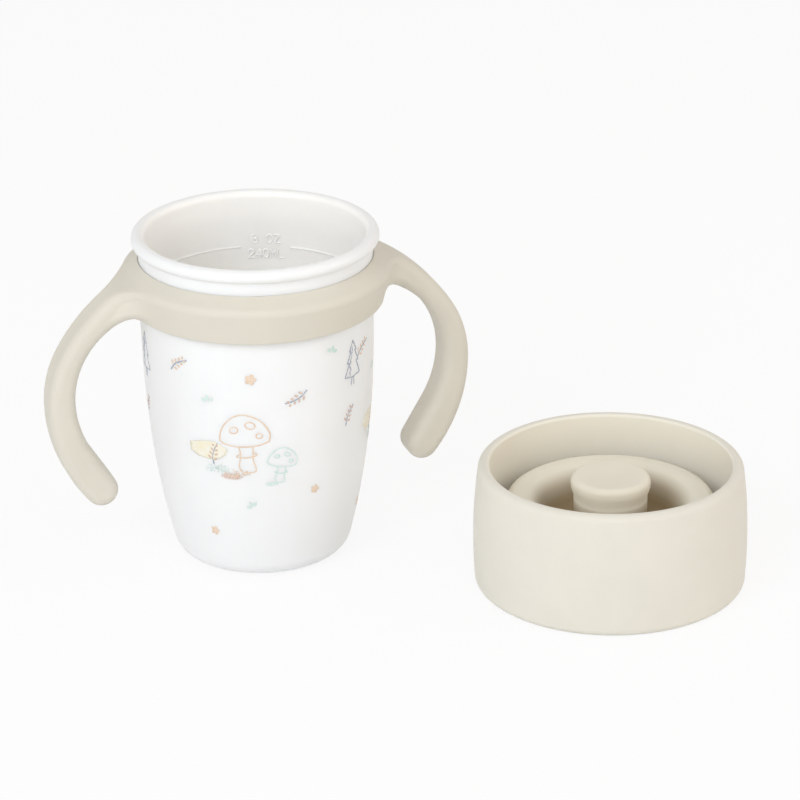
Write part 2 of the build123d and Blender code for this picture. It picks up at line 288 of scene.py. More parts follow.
class Skin(Enum):
    """Node groups that several materials use."""

    MOULDED = "moulded skin"
    INK = "ink cover"
    MOAT_SHADE = "painted moat shade"
    INNER_LIGHT = "painted inner light"


def new_group(
    skin: Skin, inputs: dict[str, str], outputs: dict[str, str]
) -> tuple[Graph, object, object]:
    """An empty shader node group with named sockets.

    Args:
        skin: Which group it is.
        inputs: Socket type of each input, by name.
        outputs: Socket type of each output, by name.

    Returns:
        The graph to build in, the outputs of its input node, and the inputs of its output node.
    """
    tree = bpy.data.node_groups.new(skin.value, "ShaderNodeTree")
    for side, sockets in (("INPUT", inputs), ("OUTPUT", outputs)):
        for title, kind in sockets.items():
            tree.interface.new_socket(title, in_out=side, socket_type="NodeSocket" + kind)
    graph = Graph(tree)
    return graph, graph.node("NodeGroupInput").outputs, graph.node("NodeGroupOutput").inputs


def moulded_group() -> None:
    """The skin of moulded plastic, shared by all its colours.

    Fine spark grain comes from two noises of about 0.2 and 0.6 mm. Faint clouds of about 13 mm
    shift the colour, and wipes of about 4 mm the roughness, as melt flow and handling do. The
    height is the grain plus slight sink ripples of about 5 mm.
    """
    inputs = {"Light": "Color", "Dark": "Color"}
    inputs |= {"Grain": "Float", "Roughness": "Float", "Spread": "Float"}
    outputs = {"Colour": "Color", "Roughness": "Float", "Height": "Float"}
    graph, given, result = new_group(Skin.MOULDED, inputs, outputs)
    place = graph.place()
    fine = graph.noise(place, 5200.0, 3.0)
    coarse = graph.noise(place, 1600.0, 2.0)
    ripple = graph.noise(place, 190.0, 1.0)
    cloud = graph.noise(place, 75.0, 3.0)
    wipes = graph.noise(place, 240.0, 4.0)
    grain = graph.sum("ADD", graph.product(fine, 0.6), graph.product(coarse, 0.4))
    clouds = graph.span(cloud, 0.3, 0.7, 0.0, 0.75)
    tint = graph.sum("ADD", clouds, graph.span(grain, 0.35, 0.65, 0.0, 0.25))
    graph.feed(result["Colour"], graph.blend(tint, given["Dark"], given["Light"]))
    shift = graph.product(graph.span(wipes, 0.3, 0.7, -1.0, 1.0), given["Spread"])
    graph.feed(result["Roughness"], graph.sum("ADD", given["Roughness"], shift, clamp=True))
    height = graph.product(grain, given["Grain"])
    graph.feed(result["Height"], graph.sum("ADD", height, graph.product(ripple, 0.35)))


def ink_group() -> None:
    """The cover of printed ink, shared by all its colours.

    Fine noise thins the ink in specks, and a coarser noise makes soft, washed out places. Cover
    runs from 0, bare cup, to 1, full ink.
    """
    graph, given, result = new_group(
        Skin.INK, {"Wash": "Float", "Speck": "Float"}, {"Cover": "Float"}
    )
    place = graph.place()
    specks = graph.span(graph.noise(place, 2600.0, 2.0), 0.36, 0.6)
    clouds = graph.span(graph.noise(place, 420.0, 3.0), 0.3, 0.68)
    thin = graph.product(graph.sum("SUBTRACT", 1.0, specks), given["Speck"])
    washed = graph.product(graph.sum("SUBTRACT", 1.0, clouds), given["Wash"])
    left = graph.sum("SUBTRACT", 1.0, thin)
    graph.feed(result["Cover"], graph.sum("SUBTRACT", left, washed, clamp=True))


def from_axis(graph: Graph, axis: Socket) -> Socket:
    """The object's coordinates, measured from an upright axis."""
    offset = graph.node("ShaderNodeVectorMath", operation="SUBTRACT")
    graph.feed(offset.inputs[0], graph.place())
    graph.feed(offset.inputs[1], axis)
    return offset.outputs[0]


def moat_shade_group() -> None:
    """How deep a place lies in the moat round the valve's knob, in metres from the lid's axis.

    One share is 1 inside the moat's radius and falls to 0 on the dome outside it. The other is 1
    under the moat's height and falls to 0 at the dome's crest. Depth is the first times the square
    root of the second. It places painted shade: a dark colour in the moat that stands in for the
    shade that falls there.
    """
    moat_radius, dome_radius = 0.0195, 0.0255
    moat_height, crest_height = 0.0205, 0.0268
    graph, given, result = new_group(Skin.MOAT_SHADE, {"Axis": "Vector"}, {"Depth": "Float"})
    part = graph.parts(from_axis(graph, given["Axis"]))
    across, along = (graph.product(part[name], part[name]) for name in "XY")
    radius = graph.sum("SQRT", graph.sum("ADD", across, along))
    near = graph.span(radius, moat_radius, dome_radius, 1.0, 0.0)
    low = graph.span(part["Z"], moat_height, crest_height, 1.0, 0.0)
    graph.feed(result["Depth"], graph.product(near, graph.sum("POWER", low, 0.5)))


def inner_light_group() -> None:
    """1 on faces that look towards an upright axis, or up from below a level, otherwise 0.

    The inward share rises over the first rise metres above the foot. The mask places painted
    light: a lighter colour on inner walls and low floors that stands in for the light they get.
    """
    start, full, rise = -0.012, -0.028, 0.012
    inputs = {"Axis": "Vector", "Level": "Float", "Foot": "Float"}
    graph, given, result = new_group(Skin.INNER_LIGHT, inputs, {"Inside": "Float"})
    place = graph.parts(from_axis(graph, given["Axis"]))
    facing = graph.parts(graph.node("ShaderNodeTexCoord").outputs["Normal"])
    across, along = (graph.product(place[name], facing[name]) for name in "XY")
    inward = graph.span(graph.sum("ADD", across, along), start, full)
    low = graph.span(graph.sum("SUBTRACT", place["Z"], given["Foot"]), 0.0, rise)
    below = graph.sum("LESS_THAN", place["Z"], given["Level"])
    upward = graph.product(graph.span(facing["Z"], 0.3, 0.8), below)
    graph.feed(result["Inside"], graph.sum("MAXIMUM", graph.product(inward, low), upward))


def blank_material(name: str, colour: Colour) -> tuple[bpy.types.Material, Graph, object]:
    """A new node material with its graph and its shader's inputs."""
    made = bpy.data.materials.new(name)
    made.use_nodes = True
    made.diffuse_color = opaque(colour)
    return made, Graph(made.node_tree), made.node_tree.nodes["Principled BSDF"].inputs


@dataclass(frozen=True)
class Moulding:
    """A moulded plastic or silicone finish.

    The dark of its clouds is the colour times contrast, its roughness wavers by spread, and shine
    is its specular level. Deep is the strength of the painted shade laid in the moat round the
    lid's axis. The inside colour is painted light on walls that face the axis above the foot, and
    on floors under the level.
    """

    name: str
    colour: Colour
    roughness: float
    grain: float
    contrast: float = 0.96
    spread: float = 0.04
    bump: float = 0.12
    bump_height: float = 0.00012
    coat: float = 0.0
    coat_roughness: float = 0.28
    sheen: float = 0.0
    sheen_roughness: float = 0.5
    shine: float = 0.5
    glow: float = 0.0
    glow_radius: Colour = (1.0, 0.95, 0.88)
    glow_scale: float = 0.003
    # Painted shade: this dark colour, at the strength deep, darkens the moat round the lid's axis
    # in place of the shade that falls there.
    moat_shade_colour: Colour = (0.25, 0.17, 0.07)
    axis: Point = (0.0, 0.0, 0.0)
    deep: float = 0.0
    # Painted light: a lighter colour on inner walls and low floors, in place of the light that
    # reaches them.
    inside: Colour | None = None
    level: float = 0.0
    foot: float = 0.0

    def tone(self, graph: Graph, colour: Socket) -> Socket:
        """The colour under the moat's painted shade and the inside's painted light."""
        # Painted shade: a dark colour over the moat round the knob, where shade falls.
        if self.deep:
            depth = graph.group(Skin.MOAT_SHADE, Axis=self.axis).outputs["Depth"]
            colour = graph.blend(graph.product(depth, self.deep), colour, opaque(self.moat_shade_colour))
        # Painted light: the inner walls and low floors get a lighter colour, in place of the light
        # there.
        if self.inside:
            side = graph.group(Skin.INNER_LIGHT, Axis=self.axis, Level=self.level, Foot=self.foot)
            colour = graph.blend(side.outputs["Inside"], colour, opaque(self.inside))
        return colour

    def material(self) -> bpy.types.Material:
        """The node material of this finish."""
        made, graph, shader = blank_material(self.name, self.colour)
        skin = graph.group(
            Skin.MOULDED,
            Light=opaque(self.colour),
            Dark=opaque(shade(self.colour, self.contrast)),
            Grain=self.grain,
            Roughness=self.roughness,
            Spread=self.spread,
        ).outputs
        graph.feed(shader["Base Color"], self.tone(graph, skin["Colour"]))
        graph.feed(shader["Roughness"], skin["Roughness"])
        raised = graph.node("ShaderNodeBump", in_Strength=self.bump, in_Distance=self.bump_height)
        graph.feed(raised.inputs["Height"], skin["Height"])
        graph.feed(shader["Normal"], raised.outputs["Normal"])
        plain = {
            "Coat Weight": self.coat,
            "Coat Roughness": self.coat_roughness,
            "Specular IOR Level": self.shine,
            "Sheen Weight": self.sheen,
            "Sheen Roughness": self.sheen_roughness,
            "Subsurface Weight": self.glow,
            "Subsurface Radius": self.glow_radius,
            "Subsurface Scale": self.glow_scale,
        }
        for name, value in plain.items():
            shader[name].default_value = value
        return made


@dataclass(frozen=True)
class Ink:
    """A printed ink on the white cup."""

    name: str
    colour: Colour
    wash: float
    speck: float
    under: Colour = (0.862, 0.872, 0.882)
    bare_roughness: float = 0.34
    ink_roughness: float = 0.42

    def material(self) -> bpy.types.Material:
        """The node material of this ink, which fades into the cup's white."""
        made, graph, shader = blank_material(self.name, self.colour)
        cover = graph.group(Skin.INK, Wash=self.wash, Speck=self.speck).outputs["Cover"]
        mixed = graph.blend(cover, opaque(self.under), opaque(self.colour))
        graph.feed(shader["Base Color"], mixed)
        rough = graph.span(cover, 0.0, 1.0, self.bare_roughness, self.ink_roughness)
        graph.feed(shader["Roughness"], rough)
        return made


LID_AXIS: Point = (0.09015, -0.0606, 0.0)

# Its inside colour is painted light: the inner wall and floor get a lighter, warmer white.
CUP_WHITE = Moulding(
    "cup_white",
    (0.862, 0.872, 0.882),
    0.38,
    0.4,
    contrast=0.985,
    bump=0.06,
    coat=0.08,
    glow=0.5,
    inside=(1.0, 0.985, 0.955),
    level=0.035,
)
RING_BEIGE = Moulding("ring_beige", (0.705, 0.67, 0.585), 0.52, 1.0, sheen=0.04, shine=0.35)
# Its inside colour is painted light: the collar's inner wall gets a lighter beige.
LID_BEIGE = Moulding(
    "lid_beige",
    (0.762, 0.735, 0.662),
    0.6,
    1.0,
    shine=0.3,
    glow=0.3,
    inside=(0.86, 0.825, 0.73),
    axis=LID_AXIS,
    foot=0.0235,
)
# Its moat round the knob gets painted shade, at the strength deep.
SILICONE = Moulding(
    "silicone_beige",
    (0.8, 0.755, 0.65),
    0.6,
    0.6,
    bump=0.08,
    shine=0.35,
    glow=0.3,
    deep=0.88,
    axis=LID_AXIS,
)

INKS = {
    "tan": Ink("ink_tan", (0.75, 0.52, 0.33), 0.25, 0.35),
    "mint": Ink("ink_mint", (0.56, 0.75, 0.69), 0.35, 0.3),
    "sand": Ink("ink_sand", (0.84, 0.76, 0.52), 0.45, 0.45),
    "slate": Ink("ink_slate", (0.22, 0.26, 0.38), 0.2, 0.4),
    "rust": Ink("ink_rust", (0.6, 0.36, 0.25), 0.3, 0.35),
}


# ---- handle ring


@dataclass
class HandleRing:
    """The ring round the cup's neck and its two hanging handles, one moulding.

    Lengths are millimetres and angles degrees. The first values are the ring's section, up to the
    snap groove. The outer, inner and tip values are the radii and angles of the handle's arcs, and
    the root values say where and how a handle leaves the ring.
    """

    neck: float = 35.0
    clearance: float = 0.25
    lip_clearance: float = 0.06
    bottom: float = 80.6
    height: float = 14.4
    wall_foot: float = 3.0
    wall_out: float = 5.4
    wall_drop: float = 4.6
    crest_out: float = 4.5
    crest_drop: float = 3.0
    outline_step: float = 0.55
    snap_rise: float = 0.6
    snap_width: float = 2.4
    snap_round: float = 0.15
    reach: float = 65.92
    level: float = 54.61
    thickness: float = 8.15
    grip_rise: float = 1.97
    outer_top: float = 33.5
    top_angle: float = 31.8
    outer_slope: float = 59.7
    slope_start: float = 44.0
    outer_low: float = 48.3
    inner_top: float = 26.02
    inner_low: float = 31.66
    root_round: float = 6.8
    root_drop: float = 0.5
    root_radius: float = 37.1
    root_top: float = 92.3
    tip_radius: float = 5.0
    tip_angle: float = 39.7
    width: float = 12.0
    edge_round: float = 3.2
    root_turn: float = 27.0
    root_foot: float = 1.6
    root_crown: float = 2.2
    root_end: float = 0.13
    root_pull: float = 1.15
    root_rows: int = 34
    turns: int = 540
    sections: int = 170

    def ring_outline(self) -> Array:
        """The ring's closed section, as radius and height, with its groove for the snap rib."""
        top = self.bottom + self.height
        bore = self.neck + self.clearance
        middle = self.bottom + self.height / 2
        half = self.snap_width / 2 + self.clearance
        deep = bore + self.snap_rise
        flat = half - self.snap_rise
        corners = [
            (bore, self.bottom, 0.25),
            (self.neck + self.wall_foot, self.bottom, 0.6),
            (self.neck + self.wall_out, top - self.wall_drop, 2.4),
            (self.neck + self.crest_out, top - self.crest_drop, 2.0),
            (self.neck + self.lip_clearance, top, 0.3),
            (bore, middle + half, self.snap_round),
            (deep, middle + flat, self.snap_round),
            (deep, middle - flat, self.snap_round),
            (bore, middle - half, self.snap_round),
        ]
        return rounded(corners, self.outline_step)

    def rails(self) -> tuple[Array, Array]:
        """The outer and the finger side of a handle, from root to the end of the tip.

        The outer side is four arcs in a row, each with the tangent of its neighbour: the shoulder
        that leaves the ring, a nearly straight slope, the round down to the widest point, and the
        long lower side. Half of the tip's arc ends it. The finger side is a straight root, a hollow
        round, two arcs, the cross tangent to the tip's circle, and the other half of the tip's arc.

        Returns:
            Two lines of points, as radius and height.
        """
        top = (self.reach - self.outer_top, self.level)
        low = np.array([self.reach - self.outer_low, self.level])
        back = self.outer_slope - self.outer_top
        slope = np.array(top) - polar(back, math.radians(self.top_angle))
        high = math.acos((self.slope_start - slope[0]) / self.outer_slope)
        way = polar(1.0, high)
        across = np.array([self.root_radius, self.root_top]) - slope - way * self.outer_slope
        bend = -float(across @ across) / (2 * float(across @ way))
        shoulder = slope + way * (self.outer_slope - bend)
        start = math.degrees(math.acos((self.root_radius - shoulder[0]) / bend))
        high_angle = math.degrees(high)
        tip = low + polar(self.outer_low - self.tip_radius, -math.radians(self.tip_angle))

        inside = self.reach - self.thickness
        grip = self.level + self.grip_rise
        crown = np.array([inside - self.inner_top, grip])
        deep = np.array([inside - self.inner_low, grip])
        away = tip - deep
        span = float(np.linalg.norm(away))
        turn = math.degrees(math.atan2(away[1], away[0]))
        turn += math.degrees(math.acos((self.inner_low + self.tip_radius) / span))
        end_angle = turn + 180.0 - 360.0 * (turn > 0.0)

        root_level = self.bottom - self.root_drop
        lift = root_level - self.root_round - crown[1]
        shift = math.sqrt((self.inner_top - self.root_round) ** 2 - lift**2)
        hollow = crown + np.array([shift, lift])
        open_angle = math.degrees(math.atan2(lift, shift))

        far = end_angle - 360.0 * (end_angle > -self.tip_angle)
        tip_end = (far - self.tip_angle) / 2
        outer = [
            arc(shoulder, bend, start, high_angle, 30),
            arc(slope, self.outer_slope, high_angle, self.top_angle, 50)[1:],
            arc(top, self.outer_top, self.top_angle, 0.0, 40)[1:],
            arc(low, self.outer_low, 0.0, -self.tip_angle, 60)[1:],
            arc(tip, self.tip_radius, -self.tip_angle, tip_end, 24)[1:],
        ]
        inner = [
            np.array([[self.root_radius, root_level]]),
            arc(hollow, self.root_round, 90.0, open_angle, 40),
            arc(crown, self.inner_top, open_angle, 0.0, 60)[1:],
            arc(deep, self.inner_low, 0.0, turn, 50)[1:],
            arc(tip, self.tip_radius, far, tip_end, 24),
        ]
        return np.concatenate(outer), np.concatenate(inner)

    def ring_grid(self, outline: Array) -> Array:
        """The ring: its outline turned about Z, one row of points for each turn angle."""
        angle = np.linspace(0.0, 2 * math.pi, self.turns, endpoint=False)[:, None]
        return polar(outline[:, 0], angle, outline[:, 1])

    def handle_grid(self, outer: Array, inner: Array) -> Array:
        """A handle: a rounded oblong section carried between its two rails.

        Along each rail the section's face lies on the rail, its corners go a quarter turn back into
        the handle along the rail's normal while they move out to the side, and a straight flank
        joins them. At the tip both rails' faces are one.

        Args:
            outer: The outer rail.
            inner: The finger side's rail.

        Returns:
            One closed row of points for each station.
        """
        quarter_turn = np.radians(np.linspace(0, 90, 11))
        depth = self.edge_round * (1 - np.cos(quarter_turn))
        edge = self.width / 2 - self.edge_round
        face = np.linspace(0.0, edge, 5)[:-1]
        aside = np.concatenate([face, edge + self.edge_round * np.sin(quarter_turn)])
        back = np.concatenate([0 * face, depth])[None, :, None]
        halves = []
        for rail, sign in ((outer, 1.0), (inner, -1.0)):
            line = resample(rail, self.sections)
            way = unit(np.gradient(line, axis=0))
            normal = sign * np.stack([-way[:, 1], way[:, 0]], -1)
            spot = line[:, None, :] - normal[:, None, :] * back
            out = np.broadcast_to(aside, spot.shape[:2])
            halves.append(np.stack([spot[..., 0], out, spot[..., 1]], -1))
        upper, lower = halves
        upper[-1] = lower[-1] = (upper[-1] + lower[-1]) / 2
        share = np.linspace(0, 1, 8)[None, 1:-1, None]
        flank = upper[:, -1:, :] * (1 - share) + lower[:, -1:, :] * share
        right = np.concatenate([upper, flank, lower[:, ::-1, :]], 1)
        left = right[:, -2:0:-1, :] * np.array([1.0, -1.0, 1.0])  # mirrored across XZ
        return np.concatenate([right, left], 1)

    def wall_line(self, outline: Array) -> Array:
        """The outline that a root can stand on: under face, outer wall and top slope."""
        inset, fall, count = 1.2, 0.7, 400
        out = outline[:, 0] - self.neck - inset
        up = outline[:, 1] - self.bottom
        low = np.argmin(np.hypot(out, up))
        high = np.argmin(np.hypot(out, up - self.height + fall))
        return resample(outline[low : high + 1], count)

    def root(self, outline: Array, grid: Array) -> tuple[Array, Array]:
        """The root: a trumpet that leaves the ring's skin along it and ends along the handle.

        Its foot is a rounded oblong on the ring, drawn in turn angle and in length along the
        outline, with corners of the power oblong |x|^3.2 + |y|^3.2 = 1. With foot point A and its
        tangent a, which runs on the skin towards the oblong's middle, and with handle point B and
        tangent b, the point at share t is
        (2t^3 - 3t^2 + 1) A + (t^3 - 2t^2 + t) a + (3t^2 - 2t^3) B + (t^3 - t^2) b.

        Args:
            outline: The ring's outline.
            grid: The handle's rows.

        Returns:
            The root's rows, from a closed end inside the ring to the handle, and the ring's normals
            at the foot.
        """
        corner_power, row_power = 2 / 3.2, 1.25
        nudge, step, sunk_depth, foot_depth = 0.02, 0.01, 0.5, 0.03
        pole_out, pole_share = 1.6, 0.45
        wall = self.wall_line(outline)
        first = int(self.root_end * len(grid))
        end, ahead = grid[first], unit(grid[first + 1] - grid[first - 1])
        middle = end.mean(0)
        angle = np.arctan2(end[:, 2] - middle[2], end[:, 1])
        side, rise = (
            np.sign(part) * np.abs(part) ** corner_power for part in (np.cos(angle), np.sin(angle))
        )

        def skin(turn: Array, share: Array) -> Array:
            """Points of the ring's skin at turn angles in radians and shares of the wall line."""
            at = np.clip(share, 0, 1) * (len(wall) - 1)
            radius, height = (np.interp(at, np.arange(len(wall)), column) for column in wall.T)
            return polar(radius, turn, height)

        length = float(np.linalg.norm(np.diff(wall, axis=0), axis=1).sum())
        low, high = self.root_foot / length, 1 - self.root_crown / length
        centre = (low + high) / 2
        turn = math.radians(self.root_turn) * side
        share = centre + (high - low) / 2 * rise
        foot = skin(turn, share)
        inward = unit(skin(turn * (1 - nudge), share + (centre - share) * nudge) - foot)
        along = skin(turn, np.minimum(share + step, 1)) - skin(turn, np.maximum(share - step, 0))
        around = skin(turn + step, share) - skin(turn - step, share)
        normal = unit(np.cross(around, along))

        t = np.linspace(0, 1, self.root_rows)[:, None, None] ** row_power
        pull = np.linalg.norm(end - foot, axis=1)[:, None] * self.root_pull
        rows = (2 * t**3 - 3 * t**2 + 1) * foot + (t**3 - 2 * t**2 + t) * inward * pull
        rows = rows + (3 * t**2 - 2 * t**3) * end + (t**3 - t**2) * ahead * pull
        sunk = foot - normal * sunk_depth
        core = [self.neck + pole_out, 0.0, self.bottom + self.height * pole_share]
        pole = np.broadcast_to(core, foot.shape)
        closed = np.stack([pole, (pole + sunk) / 2, sunk, foot - normal * foot_depth])
        return np.concatenate([closed, rows[1:-1], grid[first:]]), normal

    def build(self) -> None:
        """Builds the moulding and sets it in place of the plain node."""
        ring = self.ring_outline()
        grid, normal = self.root(ring, self.handle_grid(*self.rails()))
        shell = Shell()
        shell.add(self.ring_grid(ring), wrap_rows=True, wrap_columns=True, flip=True)
        shell.add(grid, wrap_columns=True, flip=True)
        shell.add(grid * HALF_TURN, wrap_columns=True, flip=True)
        piece = shell.piece("handle_ring_moulding", RING_BEIGE.material(), weld=0.002)
        foot_rows = grid[3:5].reshape(-1, 3)
        spots = np.concatenate([foot_rows, foot_rows * HALF_TURN])
        normals = np.concatenate([normal, normal, normal * HALF_TURN, normal * HALF_TURN])
        lay_normals(piece.data, spots, normals)
        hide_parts("handle_ring")
        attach(piece, "handle_ring")


# ---- marks and print on the cup


@dataclass
class Barrel:
    """A round wall that flat drawings are wrapped on.

    A drawing's point (u, v) lies at azimuth facing + side * u / girth and at height v, with u and v
    in millimetres. Its radius is the wall's own at that height, plus lift times the outward sense.
    """

    heights: Array
    radii: Array
    facing: float
    girth: float
    side: float = 1.0

    def wrap(self, flat: Array, lift: Array) -> Array:
        """The points in space of drawing points that stand off the wall's surface by lift."""
        azimuth = math.radians(self.facing) + self.side * flat[..., 0] / self.girth
        radius = np.interp(flat[..., 1], self.heights, self.radii) + self.side * lift
        return polar(radius, azimuth, flat[..., 1])


def cup_side() -> tuple[Array, Array]:
    """Heights and radii of the cup's outer side, read where the vertex normals face outward."""
    foot, neck, facing = 3.0, 80.0, 0.5
    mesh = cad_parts["cup_body"].data
    spots = triples(mesh.vertices, "co") / SCALE
    normals = triples(mesh.vertex_normals, "vector")
    radius = np.hypot(spots[:, 0], spots[:, 1])
    outward = (spots[:, :2] * normals[:, :2]).sum(1) / np.maximum(radius, 1e-6) > facing
    chosen = outward & (spots[:, 2] > foot) & (spots[:, 2] < neck)
    order = np.argsort(spots[chosen, 2])
    return spots[chosen, 2][order], radius[chosen][order]


def smooth_line(knots: list[Spot], steps: int = 8) -> Array:
    """A Catmull-Rom line through knots.

    Between knots b and c, with neighbours a and d, the point at share t is
    ((2b) + (c - a)t + (2a - 5b + 4c - d)t^2 + (3b - a - 3c + d)t^3) / 2.

    Args:
        knots: The points to pass through.
        steps: Points for each stretch.

    Returns:
        The line's points.
    """
    spots = np.array(knots, float)
    spots = np.concatenate([2 * spots[:1] - spots[1:2], spots, 2 * spots[-1:] - spots[-2:-1]])
    a, b, c, d = spots[:-3, None], spots[1:-2, None], spots[2:-1, None], spots[3:, None]
    t = np.linspace(0, 1, steps, endpoint=False)[None, :, None]
    line = 2 * b + (c - a) * t + (2 * a - 5 * b + 4 * c - d) * t**2 + (3 * b - a - 3 * c + d) * t**3
    return np.concatenate([line.reshape(-1, 2) / 2, spots[-2:-1]])


def placed(spots: Array, at: Spot, size: float = 1.0, turn: float = 0.0) -> Array:
    """Drawing points scaled, turned by degrees and moved to a place."""
    lean = math.radians(turn)
    spin = np.array([[math.cos(lean), math.sin(lean)], [-math.sin(lean), math.cos(lean)]])
    return np.array(at) + np.asarray(spots) * size @ spin


def oval(x: float, y: float, a: float, b: float, turn: float = 0.0, count: int = 24) -> Array:
    """A closed oval about (x, y) with half axes a and b, turned by degrees."""
    circle = polar(1.0, np.linspace(0, 2 * math.pi, count))
    return placed(circle * np.array([a, b]), (x, y), turn=turn)


@dataclass
class Drawing:
    """Lines and filled shapes laid on a wall as thin closed shells."""

    wall: Barrel
    above: float
    below: float
    shell: Shell = field(default_factory=Shell)

    def line(self, path: Array, width: float, full_round: bool = False) -> None:
        """Lays a line of a width along a path, with round ends.

        The section is a low band, or a bead where full_round is set, whose foot lies under the
        wall's surface. It shrinks to a point over half a width at each end.
        """
        half = width / 2
        way = unit(np.gradient(path, axis=0))
        turn = np.radians([0.0, 25.0, 50.0, 75.0])
        lead = [path[0] - way[0] * half * math.cos(t) for t in turn]
        tail = [path[-1] + way[-1] * half * math.cos(t) for t in turn[::-1]]
        spine = np.concatenate([lead, path, tail])
        heading = np.concatenate([[way[0]] * 4, way, [way[-1]] * 4])
        girth = np.concatenate([np.sin(turn), np.ones(len(path)), np.sin(turn[::-1])])
        if full_round:
            angle = np.radians(np.linspace(-30, 210, 9))
            across, lift = -half * np.cos(angle), self.above * np.sin(angle)
        else:
            across = half * np.array([-1.0, -1.0, -0.8, 0.8, 1.0, 1.0])
            half_lift = [-self.below, self.above * 0.5, self.above]
            lift = np.array(half_lift + half_lift[::-1])
        aside = np.stack([-heading[:, 1], heading[:, 0]], -1)
        flat = spine[:, None] - aside[:, None] * (across[None, :] * girth[:, None])[..., None]
        rise = np.where(girth[:, None] > 0, lift[None, :], -self.below)
        self.shell.add(self.wall.wrap(flat, rise), wrap_columns=True)

    def fill(self, outline: Array) -> None:
        """Lays a filled shape: rings from its middle to its outline, closed underneath."""
        middle = outline[:-1].mean(0)
        shares = np.array([0.0, 0.3, 0.6, 0.85, 1.0, 1.0, 0.0])
        lifts = np.array([self.above] * 5 + [-self.below] * 2)
        edge = outline[:-1]
        flat = middle + (edge[None] - middle) * shares[:, None, None]
        rise = lifts[:, None] * np.ones(len(edge))[None]
        following = np.roll(edge, -1, axis=0)
        area = float(np.sum(edge[:, 0] * following[:, 1] - edge[:, 1] * following[:, 0]))
        self.shell.add(self.wall.wrap(flat, rise), wrap_columns=True, flip=area > 0)


@dataclass
class FillMarks:
    """The raised numbers at the full line, inside the cup.

    Each row is its text, its width, the width of a letter, and its foot's height over the line.
    """

    inner: float = 32.9
    azimuth: float = 68.0
    level: float = 84.8
    stroke: float = 0.5
    rise: float = 0.32
    sunk: float = 0.15
    tall: float = 2.7
    rows: tuple[tuple[str, float, float, float], ...] = (
        ("8 OZ", 8.9, 1.9, 1.2),
        ("240ML", 10.8, 1.75, -3.6),
    )

    def glyph(self, name: str) -> list[Array]:
        """The lines of a letter or number in a cell one wide and one high."""
        corners = {
            "Z": [(0, 1), (1, 1), (0, 0), (1, 0)],
            "4": [(0.76, 0), (0.76, 1), (0, 0.3), (1, 0.3)],
            "M": [(0, 0), (0, 1), (0.5, 0.35), (1, 1), (1, 0)],
            "L": [(0, 1), (0, 0), (1, 0)],
        }
        bend = [(0.03, 0.75), (0.2, 0.96), (0.5, 1), (0.85, 0.9), (0.9, 0.65), (0, 0), (1, 0)]
        if name in corners:
            return [resample(np.array(corners[name], float), 24)]
        if name == "8":
            return [oval(0.5, 0.75, 0.4, 0.25), oval(0.5, 0.25, 0.5, 0.25)]
        if name == "2":
            return [smooth_line(bend)]
        return [oval(0.5, 0.5, 0.5, 0.5)]

    def build(self) -> None:
        """Lays each row's letters, centred, and makes one piece of them."""
        heights = np.array([0.0, 110.0])
        wall = Barrel(heights, np.full(2, self.inner), self.azimuth, self.inner, side=-1.0)
        drawing = Drawing(wall, self.rise, self.sunk)
        for text, wide, letter, foot in self.rows:
            pitch = (wide - letter) / (len(text) - 1)
            for number, name in enumerate(text):
                shift = np.array([number * pitch - wide / 2, self.level + foot])
                for line in self.glyph(name) if name != " " else []:
                    path = shift + line * np.array([letter, self.tall])
                    drawing.line(path, self.stroke, full_round=True)
        white = bpy.data.materials[CUP_WHITE.name]
        piece = drawing.shell.piece("fill_marks", white, weld=0.001)
        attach(piece, "cup")


